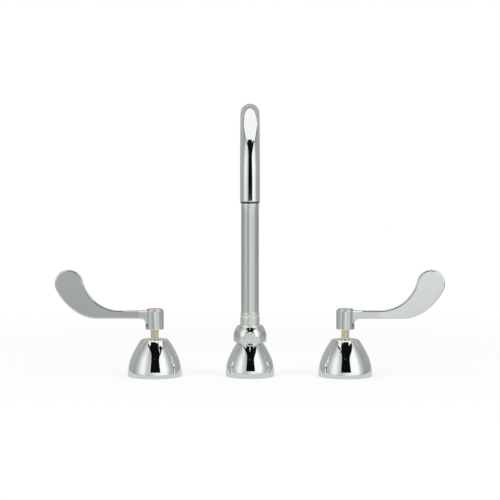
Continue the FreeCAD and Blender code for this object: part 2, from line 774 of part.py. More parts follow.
def all_pieces():
    """The spout in the middle, the cold valve at +X, and the hot valve as its mirror image at -X."""
    pieces = spout_pieces()
    for name, shape in valve_pieces().items():
        cold = shape.copy()
        cold.translate(V(handle_spacing / 2, 0, 0))
        pieces["cold_" + name] = cold
        pieces["hot_" + name] = cold.mirror(ORIGIN, V(1, 0, 0))
    return pieces


os.makedirs("parts", exist_ok=True)
for name, shape in all_pieces().items():
    bad = [solid for solid in shape.Solids if not solid.isValid() or solid.Volume <= 0]
    state = "NOT VALID" if bad else ""
    print(f"{name:22s} {len(shape.Solids)} solid(s) {shape.Volume:10.1f} mm3 {state}")
    shape.exportStep(f"parts/{name}.step")
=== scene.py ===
# %% [markdown]
# This lesson dresses a widespread basin faucet: a gooseneck spout between two valves with wrist-blade
# levers, all in polished chrome. The working model gives every piece its size and place, so the first
# step loads it as a frame. What shows is then modelled again with smooth surfaces, because chrome
# shows every facet, and what is hidden keeps its solid and only gets a finish.

# %% The frame
import json
import math

import bpy
from mathutils import Matrix, Vector


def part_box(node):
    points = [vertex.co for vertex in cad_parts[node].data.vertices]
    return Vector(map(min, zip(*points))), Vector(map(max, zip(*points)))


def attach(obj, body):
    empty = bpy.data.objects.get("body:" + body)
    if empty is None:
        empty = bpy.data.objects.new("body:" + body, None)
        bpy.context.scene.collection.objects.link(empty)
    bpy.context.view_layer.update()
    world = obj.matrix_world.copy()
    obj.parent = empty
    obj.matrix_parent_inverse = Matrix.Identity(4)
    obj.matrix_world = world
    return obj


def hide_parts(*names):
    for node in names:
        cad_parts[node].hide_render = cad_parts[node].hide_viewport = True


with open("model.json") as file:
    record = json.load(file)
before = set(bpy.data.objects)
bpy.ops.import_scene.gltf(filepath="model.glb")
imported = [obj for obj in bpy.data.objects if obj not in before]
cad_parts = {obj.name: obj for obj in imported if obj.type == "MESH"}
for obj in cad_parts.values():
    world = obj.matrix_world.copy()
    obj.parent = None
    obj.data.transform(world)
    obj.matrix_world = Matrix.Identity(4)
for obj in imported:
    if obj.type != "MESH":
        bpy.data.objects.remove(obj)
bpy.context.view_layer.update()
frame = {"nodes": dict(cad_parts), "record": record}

MM = 0.001


def node_size(node):
    """Lowest corner, highest corner and middle of a node."""
    low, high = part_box(node)
    return low, high, (low + high) / 2


# %% [markdown]
# The camera stands in front of the spout a little above the levers and looks slightly down. At this
# distance near and far pieces look almost the same size, as with a long lens. A camera can be turned
# by hand, but turning it by one angle about X keeps the spout upright in the picture.

# %% The camera
camera_distance = 1.4
camera_height = 0.185
camera_lens, film_width = 94.8, 36
camera_tilt = math.radians(2.07)

camera = bpy.data.objects.new("camera", bpy.data.cameras.new("camera"))
bpy.context.scene.collection.objects.link(camera)
camera.location = (0, -camera_distance, camera_height)
camera.rotation_euler = (math.pi / 2 - camera_tilt, 0, 0)
camera.data.lens = camera_lens
camera.data.sensor_width = film_width
bpy.context.scene.camera = camera
bpy.context.scene.view_settings.view_transform = "Standard"
print("camera", round(camera_distance, 2), "m in front,", round(camera_height, 3), "m up")

# %% [markdown]
# Polished chrome has no colour of its own: it is a picture of the room. So the room is the real
# material here. It could be an image of a studio, but a few gradients do it better, because each can
# be moved until the reflections sit right. The world below is only the walls, bright to the left and
# right of the camera and grey at the sides; the ceiling and the dark card follow further down.
# The camera itself sees plain white, and everything that isn't a mirror gets an even light.

# %% Helpers for nodes
def new_node(tree, kind, **values):
    """Adds a node, sets its properties, and sets or joins its inputs by name or number."""
    node = tree.nodes.new(kind)
    inputs = values.pop("inputs", {})
    for name, value in values.items():
        setattr(node, name, value)
    for key, value in inputs.items():
        if isinstance(value, bpy.types.NodeSocket):
            tree.links.new(value, node.inputs[key])
        else:
            node.inputs[key].default_value = value
    return node


def maths(tree, operation, *values):
    node = new_node(tree, "ShaderNodeMath", operation=operation, inputs=dict(enumerate(values)))
    return node.outputs[0]


def smooth_step(tree, value, low, high, start=0.0, end=1.0):
    """Goes from start to end while the value goes from low to high."""
    node = new_node(tree, "ShaderNodeMapRange", interpolation_type="SMOOTHSTEP",
                    inputs={"Value": value, "From Min": low, "From Max": high,
                            "To Min": start, "To Max": end})
    return node.outputs["Result"]


def colour_ramp(tree, value, stops):
    """A ramp with a stop for each (place, colour)."""
    node = new_node(tree, "ShaderNodeValToRGB", inputs={"Fac": value})
    ramp = node.color_ramp
    while len(ramp.elements) < len(stops):
        ramp.elements.new(0.5)
    for element, (place, colour) in zip(ramp.elements, stops):
        element.position = place
        element.color = (*colour, 1)
    return node.outputs["Color"]


def axes_of(tree, coordinates="Object"):
    """The X, Y and Z of the place on an object, or of the direction into the world."""
    where = new_node(tree, "ShaderNodeTexCoord").outputs[coordinates]
    return new_node(tree, "ShaderNodeSeparateXYZ", inputs={0: where}).outputs


def mix_colours(tree, share, first, second):
    """Goes from the first colour to the second while the share goes from 0 to 1."""
    node = new_node(tree, "ShaderNodeMix", data_type="RGBA", inputs={0: share, 6: first, 7: second})
    return node.outputs[2]


def azimuth(tree, x, y):
    """0 straight towards the camera, up to 1 at the back; negative on the left."""
    turn = maths(tree, "ARCTAN2", x, maths(tree, "MULTIPLY", y, -1.0))
    return maths(tree, "DIVIDE", turn, math.pi)


def round_the_room(tree, turn, levels):
    """Pale green levels round the room, as (degrees from the camera, level), left is negative."""
    share_of_room = maths(tree, "MULTIPLY_ADD", turn, 0.5, 0.5)
    tint = (0.965, 1.0, 0.975)
    stops = [((degrees + 180) / 360, [level * part for part in tint]) for degrees, level in levels]
    return colour_ramp(tree, share_of_room, stops)


# %% The world
world = bpy.data.worlds.new("studio")
bpy.context.scene.world = world
world.use_nodes = True
tree = world.node_tree
tree.nodes.clear()
direction = axes_of(tree, "Generated")
around = azimuth(tree, direction["X"], direction["Y"])
walls = round_the_room(tree, around, [
    (-180, 0.47), (-150, 0.46), (-110, 0.43), (-90, 0.39), (-72, 0.68), (-54, 1.04), (-42, 0.92),
    (-30, 0.60), (-14, 0.62), (16, 1.04), (54, 1.10), (70, 0.62), (90, 0.36), (115, 0.38),
    (150, 0.45), (180, 0.47)])
# The walls are a little darker near the floor, and near the ceiling on the left.
lower_walls = smooth_step(tree, direction["Z"], 0.0, 0.2, 0.93, 1.0)
right_top = smooth_step(tree, around, -0.05, 0.1, 0.82, 1.0)
upper_walls = smooth_step(tree, direction["Z"], 0.45, 0.75, 1.0, right_top)
room = new_node(tree, "ShaderNodeVectorMath", operation="SCALE", inputs={
    0: walls, "Scale": maths(tree, "MULTIPLY", lower_walls, upper_walls)}).outputs[0]
path = new_node(tree, "ShaderNodeLightPath").outputs
even_light, white = (0.75, 0.75, 0.75, 1), (1, 1, 1, 1)
room_light = mix_colours(tree, path["Is Glossy Ray"], even_light, room)
seen = mix_colours(tree, path["Is Camera Ray"], room_light, white)
background = new_node(tree, "ShaderNodeBackground", inputs={"Color": seen, "Strength": 1.0})
new_node(tree, "ShaderNodeOutputWorld", inputs={"Surface": background.outputs[0]})
print("world: walls only")

# %% [markdown]
# The floor is the counter's top. A big plain sheet is all it takes, but its colour has two jobs: the
# camera sees it white with the faucet's faint shadow, and the chrome sees it as a grey sheet that is
# brightest right in front, as a table under studio lights is. So the shader asks the light path who
# is looking. The white is mostly a glow, and far from the faucet only that, so that the sheet can't be
# told from the background. It reaches far, or its end would show in the upright tube as a bright line.

# %% The floor
floor_half = 60.0
floor_gap = 0.05 * MM
bpy.ops.object.select_all(action="DESELECT")
bpy.ops.mesh.primitive_plane_add(size=2 * floor_half, location=(0, 0, -floor_gap))
floor = bpy.context.object
floor.name = "floor"

floor_paint = bpy.data.materials.new("floor")
floor_paint.use_nodes = True
tree = floor_paint.node_tree
tree.nodes.clear()
spot = axes_of(tree)
sheet = round_the_room(tree, azimuth(tree, spot["X"], spot["Y"]), [
    (-180, 0.55), (-130, 0.32), (-85, 0.34), (-66, 0.52), (-51, 0.58), (-37, 0.42), (-24, 0.38),
    (-12, 0.43), (0, 0.62), (10, 0.78), (19, 0.70), (27, 0.54), (42, 0.64), (56, 0.56), (70, 0.39),
    (85, 0.31), (128, 0.31), (180, 0.55)])
distance = new_node(tree, "ShaderNodeVectorMath", operation="LENGTH", inputs={
    0: new_node(tree, "ShaderNodeTexCoord").outputs["Object"]}).outputs["Value"]
colour_near_faucet = (0.63, 0.66, 0.635, 1)
sheet = mix_colours(tree, smooth_step(tree, distance, 0.22, 0.5), colour_near_faucet, sheet)
path = new_node(tree, "ShaderNodeLightPath").outputs
diffuse = new_node(tree, "ShaderNodeBsdfDiffuse", inputs={"Color": (0.8, 0.8, 0.8, 1)})
glow = new_node(tree, "ShaderNodeEmission", inputs={"Color": white, "Strength": 1.0})
glow_share = smooth_step(tree, distance, 0.3, 0.9, 0.78, 1.0)
lit = new_node(tree, "ShaderNodeMixShader", inputs={
    0: glow_share, 1: diffuse.outputs[0], 2: glow.outputs[0]})
mirrored = new_node(tree, "ShaderNodeEmission", inputs={"Color": sheet, "Strength": 1.0})
for_mirrors = new_node(tree, "ShaderNodeMixShader", inputs={
    0: path["Is Glossy Ray"], 1: diffuse.outputs[0], 2: mirrored.outputs[0]})
for_camera = new_node(tree, "ShaderNodeMixShader", inputs={
    0: path["Is Camera Ray"], 1: for_mirrors.outputs[0], 2: lit.outputs[0]})
new_node(tree, "ShaderNodeOutputMaterial", inputs={"Surface": for_camera.outputs[0]})
floor.data.materials.append(floor_paint)
print("floor", 2 * floor_half, "m wide")

# %% [markdown]
# Two soft boxes light what isn't metal: the coloured buttons and the floor with its shadow. They stand
# high in front, left and right, so that shadows stay short and soft. Metal doesn't show them, because
# two squares of light in every curve would give away that the room is a made one.

# %% The lamps
def soft_box(name, place, size, watts):
    lamp = bpy.data.objects.new(name, bpy.data.lights.new(name, "AREA"))
    lamp.data.size = size
    lamp.data.energy = watts
    lamp.location = place
    lamp.rotation_euler = (-Vector(place)).to_track_quat("-Z", "Y").to_euler()
    lamp.visible_glossy = False
    bpy.context.scene.collection.objects.link(lamp)


box_side, box_front, box_up = 0.9, 0.7, 1.3
box_size, box_watts = 0.6, 9
soft_box("left_soft_box", (-box_side, -box_front, box_up), box_size, box_watts)
soft_box("right_soft_box", (box_side, -box_front, box_up), box_size, box_watts)
print("two soft boxes of", box_watts, "W")

# %% [markdown]
# Chrome plate is one shader with a metallic value of 1. A perfect mirror looks false, so a shader
# group adds what polishing leaves: a slight waviness that bends the edges of reflections, and a haze
# that varies a little. The group puts out a height and a roughness, and each finish picks how much.

# %% Surface groups
def new_group(name, numbers, outputs):
    """A shader group with its inputs, each with a first value, and what its nodes read and write."""
    group = bpy.data.node_groups.new(name, "ShaderNodeTree")
    for name_of_input, value in numbers.items():
        socket = group.interface.new_socket(name_of_input, in_out="INPUT", socket_type="NodeSocketFloat")
        socket.default_value = value
    for name_of_output in outputs:
        group.interface.new_socket(name_of_output, in_out="OUTPUT", socket_type="NodeSocketFloat")
    inside = group.nodes
    return group, inside.new("NodeGroupInput").outputs, inside.new("NodeGroupOutput").inputs


polish, given, result = new_group(
    "polish_marks", {"Wave Scale": 60.0, "Grain Scale": 900.0, "Grain Share": 0.1,
                     "Lowest Roughness": 0.02, "Highest Roughness": 0.06}, ("Height", "Roughness"))
where = new_node(polish, "ShaderNodeTexCoord").outputs["Object"]
wave = new_node(polish, "ShaderNodeTexNoise", inputs={
    "Vector": where, "Scale": given["Wave Scale"], "Detail": 1.0}).outputs["Fac"]
grain = new_node(polish, "ShaderNodeTexNoise", inputs={
    "Vector": where, "Scale": given["Grain Scale"], "Detail": 3.0}).outputs["Fac"]
height = maths(polish, "ADD", wave, maths(polish, "MULTIPLY", grain, given["Grain Share"]))
polish.links.new(height, result["Height"])
haze = new_node(polish, "ShaderNodeMapRange", inputs={
    "Value": grain, "From Min": 0.35, "From Max": 0.65,
    "To Min": given["Lowest Roughness"], "To Max": given["Highest Roughness"]}).outputs["Result"]
polish.links.new(haze, result["Roughness"])
print("group", polish.name)

# %% [markdown]
# Each finish is one material. Its colour and its metallic value are plain numbers on the shader, and
# only roughness and normal come from the group. Chrome, satin chrome, brass and steel differ by colour
# and haze, and rubber, foam, ceramic and nylon aren't metal.

# %% Finishes
def finish(name, colour, metallic, group_values, bump, **sockets):
    """A material of one colour, with marks of polishing whose height is the bump."""
    material = bpy.data.materials.new(name)
    material.use_nodes = True
    tree = material.node_tree
    shader = tree.nodes["Principled BSDF"]
    shader.inputs["Base Color"].default_value = (*colour, 1)
    shader.inputs["Metallic"].default_value = metallic
    for socket, value in sockets.items():
        shader.inputs[socket.replace("_", " ")].default_value = value
    marks = new_node(tree, "ShaderNodeGroup", node_tree=polish, inputs=group_values).outputs
    tree.links.new(marks["Roughness"], shader.inputs["Roughness"])
    relief = new_node(tree, "ShaderNodeBump", inputs={
        "Height": marks["Height"], "Strength": 1.0, "Distance": bump})
    tree.links.new(relief.outputs["Normal"], shader.inputs["Normal"])
    return material


chrome_colour = (0.90, 0.92, 0.905)
materials = {
    "chrome": finish("polished_chrome", chrome_colour, 1.0, {
        "Wave Scale": 55.0, "Grain Share": 0.02}, 0.04 * MM),
    "brass": finish("machined_brass", (0.62, 0.43, 0.18), 1.0, {
        "Wave Scale": 300.0, "Lowest Roughness": 0.22, "Highest Roughness": 0.36}, 0.03 * MM),
    "stem_brass": finish("pale_brass", (0.90, 0.81, 0.66), 1.0, {
        "Wave Scale": 200.0, "Lowest Roughness": 0.14, "Highest Roughness": 0.2}, 0.002 * MM),
    "steel": finish("plain_steel", (0.55, 0.55, 0.56), 1.0, {
        "Wave Scale": 200.0, "Lowest Roughness": 0.25, "Highest Roughness": 0.4}, 0.03 * MM),
    "rubber": finish("black_rubber", (0.03, 0.03, 0.03), 0.0, {
        "Wave Scale": 400.0, "Lowest Roughness": 0.55, "Highest Roughness": 0.75}, 0.05 * MM),
    "foam": finish("grey_foam", (0.08, 0.08, 0.08), 0.0, {
        "Wave Scale": 900.0, "Lowest Roughness": 0.8, "Highest Roughness": 0.95}, 0.2 * MM),
    "ceramic": finish("lapped_ceramic", (0.85, 0.83, 0.76), 0.0, {
        "Wave Scale": 200.0, "Lowest Roughness": 0.1, "Highest Roughness": 0.2}, 0.01 * MM),
    "nylon": finish("white_nylon", (0.78, 0.78, 0.74), 0.0, {
        "Wave Scale": 200.0, "Lowest Roughness": 0.35, "Highest Roughness": 0.5}, 0.02 * MM),
}
materials["handle_chrome"] = materials["chrome"]
materials["collar_chrome"] = finish("satin_chrome", (0.97, 0.965, 0.90), 1.0, {
    "Wave Scale": 160.0, "Lowest Roughness": 0.22, "Highest Roughness": 0.28}, 0.004 * MM)
print(len(materials), "plain finishes")

# %% [markdown]
# The buttons are clear plastic caps with their colour under the top. Real depth would need clear plastic
# that light passes through, for a piece a few pixels high. A mask by height is enough: below it the
# cap is pale and mirrors the room, above it the colour shows, and a clear coat lies over both.

# %% The clear caps
cap_paleness = 0.72
cap_depth, cap_blend = 0.45 * MM, 0.25 * MM
cap_top = node_size("hot_index_button")[1].z


def cap_finish(name, colour):
    """A clear cap with this colour under its top."""
    marks = {"Wave Scale": 150.0, "Lowest Roughness": 0.08, "Highest Roughness": 0.14}
    material = finish(name, colour, 0.0, marks, 0.002 * MM, Coat_Weight=1.0)
    tree = material.node_tree
    shader = tree.nodes["Principled BSDF"]
    on_top = smooth_step(tree, axes_of(tree)["Z"], cap_top - cap_depth, cap_top - cap_depth + cap_blend)
    pale = [cap_paleness + (1 - cap_paleness) * part for part in colour]
    cap_colour = mix_colours(tree, on_top, (*pale, 1), (*colour, 1))
    tree.links.new(cap_colour, shader.inputs["Base Color"])
    tree.links.new(maths(tree, "SUBTRACT", 1.0, on_top), shader.inputs["Metallic"])
    return material


materials["index_red"] = cap_finish("red_cap", (0.50, 0.03, 0.06))
materials["index_blue"] = cap_finish("blue_cap", (0.07, 0.06, 0.36))
print("two caps, coloured above z", round((cap_top - cap_depth) / MM, 2), "mm")

# %% [markdown]
# Two chrome pieces need a copy of the chrome with something added. The nut was buffed, so its edges
# flow into each other, which a bevel in the shader does without any faces. The spout gets painted shade:
# a dark band is painted on the leg just above the outlet, which from the front is a dark line under the
# tube's end.

# %% The buffed nut and the painted shade over the outlet
nut_edge_radius = 2.2 * MM
buffed_above = node_size("spout_nut")[0].z + 4 * MM
tube_radius, outlet_height = 9.525 * MM, 183.8 * MM
outlet_y = node_size("gooseneck")[0].y + tube_radius
# Painted shade: below these heights the leg is painted dark, just above the outlet.
rim_shade_low, rim_shade_high = outlet_height + 1.4 * MM, outlet_height + 1.8 * MM
rim_shade_colour = (0.02, 0.02, 0.02, 1)


def chrome_copy(name):
    material = materials["chrome"].copy()
    material.name = name
    return material, material.node_tree


def buffed_finish(name):
    """Polished chrome whose edges look worn round, apart from those near its foot."""
    material, tree = chrome_copy(name)
    edge_radius = smooth_step(tree, axes_of(tree)["Z"], buffed_above, buffed_above + 1 * MM,
                              0.0, nut_edge_radius)
    round_edges = new_node(tree, "ShaderNodeBevel", samples=12, inputs={"Radius": edge_radius})
    relief = next(node for node in tree.nodes if node.bl_idname == "ShaderNodeBump")
    tree.links.new(round_edges.outputs["Normal"], relief.inputs["Normal"])
    return material


def rim_shade_finish(name):
    """Polished chrome with painted shade: dark on the lowest part of the leg, just above the outlet."""
    material, tree = chrome_copy(name)
    spot = axes_of(tree)
    # The painted shade: a dark band low on the leg, on the part near the outlet only.
    low_down = smooth_step(tree, spot["Z"], rim_shade_low, rim_shade_high, 1.0, 0.0)
    on_the_leg = smooth_step(tree, spot["Y"], outlet_y + 20 * MM, outlet_y + 30 * MM, 1.0, 0.0)
    rim_shade_share = maths(tree, "MULTIPLY", low_down, on_the_leg)
    shaded_tube_colour = mix_colours(tree, rim_shade_share, (*chrome_colour, 1), rim_shade_colour)
    tree.links.new(shaded_tube_colour, tree.nodes["Principled BSDF"].inputs["Base Color"])
    return material


materials["nut_chrome"] = buffed_finish("nut_chrome")
materials["tube_chrome"] = rim_shade_finish("spout_chrome_painted_shade")
print(len(materials), "finishes")

# %% [markdown]
# Most pieces are hidden, inside the valves or under the counter. Their solids are good enough as they
# are, so every solid gets its finish by a loop over the record, which says which slot a piece has.

# %% Every solid gets its finish
def paint(piece, material):
    piece.data.materials.clear()
    piece.data.materials.append(material)


for part in frame["record"]["subparts"]:
    paint(frame["nodes"][part["node"]], materials[part["material_slot"]])

# %% [markdown]
# Most pieces of a faucet are turned on a lathe, so the tool for them is a lathe: half an outline is
# drawn by extruding one vertex from point to point, and then spun round the piece's axis. Arcs in the
# outline come from a formula, with enough points for chrome to look round.

# %% The lathe
same_place = 0.002 * MM


def draw_line(name, points):
    """A new object in edit mode, with an open line drawn through the points."""
    bpy.ops.object.select_all(action="DESELECT")
    bpy.ops.mesh.primitive_plane_add(size=MM, location=(0, 0, 0))
    piece = bpy.context.object
    piece.name = piece.data.name = name
    bpy.ops.object.mode_set(mode="EDIT")
    bpy.ops.mesh.select_all(action="SELECT")
    bpy.ops.mesh.merge(type="CENTER")
    points = [Vector(point) for point in points]
    bpy.ops.transform.translate(value=points[0])
    for last, point in zip(points, points[1:]):
        bpy.ops.mesh.extrude_vertices_move(TRANSFORM_OT_translate={"value": point - last})
    return piece


def draw(name, outline):
    """A line through points of the XZ plane."""
    return draw_line(name, [(x, 0, z) for x, z in outline])


def select_only(piece):
    if bpy.context.object and bpy.context.object.mode != "OBJECT":
        bpy.ops.object.mode_set(mode="OBJECT")
    bpy.ops.object.select_all(action="DESELECT")
    bpy.context.view_layer.objects.active = piece
    piece.select_set(True)


def tidy_mesh(piece, sharp=30):
    """Merges what coincides, turns the faces outwards and smooths all but the sharp edges."""
    if piece.mode != "EDIT":
        select_only(piece)
        bpy.ops.object.mode_set(mode="EDIT")
    bpy.ops.mesh.select_all(action="SELECT")
    bpy.ops.mesh.remove_doubles(threshold=same_place)
    bpy.ops.mesh.normals_make_consistent(inside=False)
    select_only(piece)
    bpy.ops.object.shade_smooth_by_angle(angle=math.radians(sharp))


def turn(name, outline, steps=128, sharp=30):
    """A closed half outline of (radius, height) points, spun about the Z axis."""
    on_axis = outline[0][0] == 0 and outline[-1][0] == 0
    piece = draw(name, outline if on_axis else [*outline, outline[0]])
    bpy.ops.mesh.select_all(action="SELECT")
    bpy.ops.mesh.spin(steps=steps, angle=2 * math.pi, center=(0, 0, 0), axis=(0, 0, 1))
    tidy_mesh(piece, sharp)
    return piece


def arc(start, end, bulge, steps):
    """Points from start to end along an arc, up to a half circle, that bulges to the right of the way."""
    start, end = Vector(start), Vector(end)
    chord = end - start
    length = chord.length
    if abs(bulge) < 1e-9:
        return [tuple(start.lerp(end, i / steps)) for i in range(steps + 1)]
    radius = (length * length / 4 + bulge * bulge) / (2 * bulge)
    side = Vector((chord.y, -chord.x)) / length
    centre = (start + end) / 2 + side * (bulge - radius)
    half_angle = math.asin(length / 2 / radius)
    points = []
    for i in range(steps + 1):
        angle = half_angle * (2 * i / steps - 1)
        points.append(tuple(centre + radius * (side * math.cos(angle) + chord / length * math.sin(angle))))
    return points


def corner(before, point, after, radius, steps=4):
    """A rounded corner: an arc of about that radius where two straight stretches meet."""
    before, point, after = Vector(before), Vector(point), Vector(after)
    way_in, way_out = (before - point).normalized(), (after - point).normalized()
    half = way_in.angle(way_out) / 2
    reach = min(radius / math.tan(half), 0.45 * (before - point).length, 0.45 * (after - point).length)
    start, end = point + way_in * reach, point + way_out * reach
    true_radius = reach * math.tan(half)
    bulge = true_radius * (1 - math.sin(half))
    turn_side = (point - start).x * (end - point).y - (point - start).y * (end - point).x
    return arc(start, end, bulge if turn_side > 0 else -bulge, steps)


def place(piece, node, body, slot, middle=(0, 0)):
    """Moves a finished piece to its axis, paints it, and puts it in place of a node's solid."""
    piece.data.transform(Matrix.Translation((middle[0], middle[1], 0)))
    paint(piece, materials[slot])
    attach(piece, body)
    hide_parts(node)
    print(piece.name, len(piece.data.polygons), "faces")


# %% [markdown]
# A black card stands behind the camera, and every round piece of chrome shows it as a tall dark streak.
# Its waist and its spread arms come back in the streaks, and so does a small lamp in front of it, as a
# pale speck. Only mirrors see them: they are hidden from the camera, throw no shadow and take no light
# from the floor. The card's lower edge stays high enough to be out of sight of the upright tube.

# %% The dark card
card_distance = 1.5
card_outline = [
    (-0.50, 0.185), (-0.49, 0.95), (-0.55, 1.45), (-0.76, 1.84), (-1.4, 2.42), (-2.85, 3.78),
    (-2.95, 4.1), (-1.48, 2.74), (-1.25, 2.85), (-1.7, 3.5), (-0.7, 2.95), (0.0, 2.84),
    (0.6, 2.9), (1.15, 3.15), (1.02, 2.55), (2.75, 4.05), (2.75, 3.6), (1.5, 2.2), (0.84, 1.52),
    (0.65, 1.15), (0.64, 0.7), (0.68, 0.185)]


def glow_paint(name, level):
    """An even grey that no lamp or shadow changes."""
    material = bpy.data.materials.new(name)
    material.use_nodes = True
    tree = material.node_tree
    tree.nodes.clear()
    light = new_node(tree, "ShaderNodeEmission", inputs={"Color": (level, level, level, 1)})
    new_node(tree, "ShaderNodeOutputMaterial", inputs={"Surface": light.outputs[0]})
    return material


def only_for_mirrors(card):
    for ray in ("camera", "diffuse", "shadow", "transmission", "volume_scatter"):
        setattr(card, "visible_" + ray, False)


card = draw("dark_card", [*card_outline, card_outline[0]])
bpy.ops.mesh.select_all(action="SELECT")
bpy.ops.mesh.remove_doubles(threshold=1 * MM)
bpy.ops.mesh.edge_face_add()
bpy.ops.object.mode_set(mode="OBJECT")
card.data.transform(Matrix.Translation((0, -card_distance, 0)))
paint(card, glow_paint("card_black", 0.004))
only_for_mirrors(card)
bpy.ops.object.select_all(action="DESELECT")
lamp_place = (-0.07, 0.02 - card_distance, 1.15)
bpy.ops.mesh.primitive_circle_add(vertices=16, radius=0.02, fill_type="NGON",
                                  location=lamp_place, rotation=(math.pi / 2, 0, 0))
small_lamp = bpy.context.object
small_lamp.name = "small_lamp"
paint(small_lamp, glow_paint("small_lamp", 0.9))
only_for_mirrors(small_lamp)
print("card", len(card_outline), "corners")

# %% [markdown]
# The ceiling is a white tent. Its hem is a dark line at about the height where a tent's frame would be,
# and round metal bends that line into the thin dark arcs near the top of every reflection. A ring of
# vertices makes both: extruded a little way up it is the hem, and extruded again to a point the tent.

# %% The tent
hem_points = [
    (-2.9, -1.56, 3.9), (-1.5, -0.65, 1.95), (-0.62, 0.2, 0.78), (-0.5, 0.6, 0.88), (0.5, 0.6, 0.86),
    (0.32, 0.18, 0.45), (0.7, -0.3, 0.86), (2.8, -1.56, 3.75), (1.4, -1.56, 2.2), (0, -1.56, 2.2),
    (-1.35, -1.56, 2.5)]
tent_eye = (0, 0, 0.1)
hem_rise = 1.07
tent_peak = (0, -1.1, 2.7)


def hem_ring(name, rise):
    """The closed ring of the hem in edit mode, raised, with a second ring on it to be moved."""
    piece = draw_line(name, [*hem_points, hem_points[0]])
    bpy.ops.mesh.select_all(action="SELECT")
    bpy.ops.mesh.remove_doubles(threshold=1 * MM)
    bpy.ops.transform.resize(value=(1, 1, rise), center_override=tent_eye)
    bpy.ops.mesh.extrude_edges_move()
    return piece


hem = hem_ring("tent_hem", 1.0)
bpy.ops.transform.resize(value=(1, 1, hem_rise), center_override=tent_eye)
bpy.ops.object.mode_set(mode="OBJECT")
paint(hem, glow_paint("hem_black", 0.02))
only_for_mirrors(hem)
tent = hem_ring("tent", hem_rise)
bpy.ops.mesh.merge(type="CENTER")
bpy.ops.transform.translate(value=tent_peak)
bpy.ops.object.mode_set(mode="OBJECT")
paint(tent, glow_paint("tent_white", 1.0))
only_for_mirrors(tent)
print("tent", len(tent.data.polygons), "faces, hem", len(hem.data.polygons))

# %% [markdown]
# The bells are spun from sheet: a thin wall whose outside is one shallow curve from the rim to a small
# flat top. An outline for the lathe needs both skins, so the inside repeats the arc, moved in by the
# wall. The rim and the top edge are rounded, because those edges catch a bright line in chrome.

# %% The bells
bell_wall = 1.8 * MM
bell_edge = 1.0 * MM
hole_edge = 0.3 * MM
arc_steps = 28


def belly(start, end, bulge, steps, low_share=0.2):
    """Points along a shallow curve whose fullest part lies below its middle."""
    start, end = Vector(start), Vector(end)
    chord = end - start
    side = Vector((chord.y, -chord.x)).normalized()
    points = []
    for i in range(steps + 1):
        share = i / steps
        out = 4 * bulge * share * (1 - share) * (1 + low_share * (1 - 2 * share))
        points.append(tuple(start + chord * share + side * out))
    return points


def make_bell(node, bulge, top_radius, hole_radius):
    low, high, middle = node_size(node)
    radius, height = (high.x - low.x) / 2, high.z
    skin = belly((radius, 0.5 * bell_edge), (top_radius, height - 0.4 * bell_edge), bulge, arc_steps)
    inside = arc((top_radius - bell_wall, height - bell_wall), (radius - bell_wall, 0.2 * MM),
                 -bulge, arc_steps)
    top = corner(skin[-2], skin[-1], (hole_radius, height), bell_edge)
    outline = [
        (radius - 0.3 * bell_edge, 0), *skin[:-1], *top, (top_radius - 1.5 * bell_edge, height),
        (hole_radius + hole_edge, height), (hole_radius, height - hole_edge),
        (hole_radius, height - bell_wall), *inside, (radius - 0.7 * bell_wall, 0)]
    piece = turn(node + "_shell", outline)
    place(piece, node, "fixed_pieces", "chrome", (middle.x, middle.y))


for node in ("hot_bell", "cold_bell"):
    make_bell(node, bulge=3.2 * MM, top_radius=14.5 * MM, hole_radius=5.3 * MM)
make_bell("spout_bell", bulge=2.9 * MM, top_radius=14.7 * MM, hole_radius=12.3 * MM)

# %% [markdown]
# The hexagon nut is turned and milled: a lathe gives it a dome, and a mill cuts six flats. Modelling it
# the same way, as a turned blank cut by a six-sided prism, makes the curved edges where dome and flats
# meet come out by themselves, at the places where the real ones are. Below the flats is a round washer
# face that leans in a little towards its top.

# %% Helpers for solid work
def apply_modifier(piece, kind, **settings):
    select_only(piece)
    modifier = piece.modifiers.new(kind.lower(), kind)
    for name, value in settings.items():
        setattr(modifier, name, value)
    bpy.ops.object.modifier_apply(modifier=modifier.name)


def combine(piece, tool, operation):
    """Joins, cuts or intersects a piece with a tool, which is used up."""
    apply_modifier(piece, "BOOLEAN", object=tool, operation=operation, solver="EXACT")
    bpy.data.objects.remove(tool)


def bar(radius, bottom, top, sides=64, angle=0.0):
    """An upright round or many-sided bar about the Z axis, as a cutting tool."""
    bpy.ops.object.select_all(action="DESELECT")
    bpy.ops.mesh.primitive_cylinder_add(vertices=sides, radius=radius, depth=top - bottom,
                                        location=(0, 0, (bottom + top) / 2), rotation=(0, 0, angle))
    bpy.ops.object.transform_apply()
    return bpy.context.object


# %% The spout nut
low, high, middle = node_size("spout_nut")
nut_flats, nut_turned, nut_chamfer = 32.5 * MM, 17.35 * MM, 0.8 * MM
washer_face, washer_radius = 2.2 * MM, 14.4 * MM
washer_edge, washer_lean = 0.3 * MM, 0.6 * MM
nut_bottom = low.z + washer_face
dome_start = nut_bottom + 3.2 * MM
rim_radius, rim_round = 14.0 * MM, 0.9 * MM
neck_hole, collar_hole = 12.1 * MM, 10.6 * MM
lip, lip_edge = 3.4 * MM, 0.4 * MM
dome = arc((nut_turned, dome_start), (rim_radius, high.z - 0.3 * MM - rim_round), 1.25 * MM, 24)
shoulder = arc(dome[-1], (rim_radius - 1.5 * rim_round, high.z), 0.25 * MM, 6)
nut = turn("spout_nut_body", [
    (neck_hole, nut_bottom), (nut_turned - nut_chamfer, nut_bottom),
    (nut_turned, nut_bottom + nut_chamfer), *dome, *shoulder[1:],
    (collar_hole + lip_edge, high.z), (collar_hole, high.z - lip_edge),
    (collar_hole, high.z - lip), (neck_hole, high.z - lip)])
combine(nut, bar(nut_flats / math.sqrt(3), low.z, high.z + 1 * MM, 6, math.radians(30)), "INTERSECT")
face_top = nut_bottom + washer_edge
face = turn("nut_washer_face", [
    (neck_hole, low.z), (washer_radius - washer_edge, low.z), (washer_radius, low.z + washer_edge),
    (washer_radius - washer_lean, face_top), (neck_hole, face_top)])
combine(nut, face, "UNION")
tidy_mesh(nut, 7)
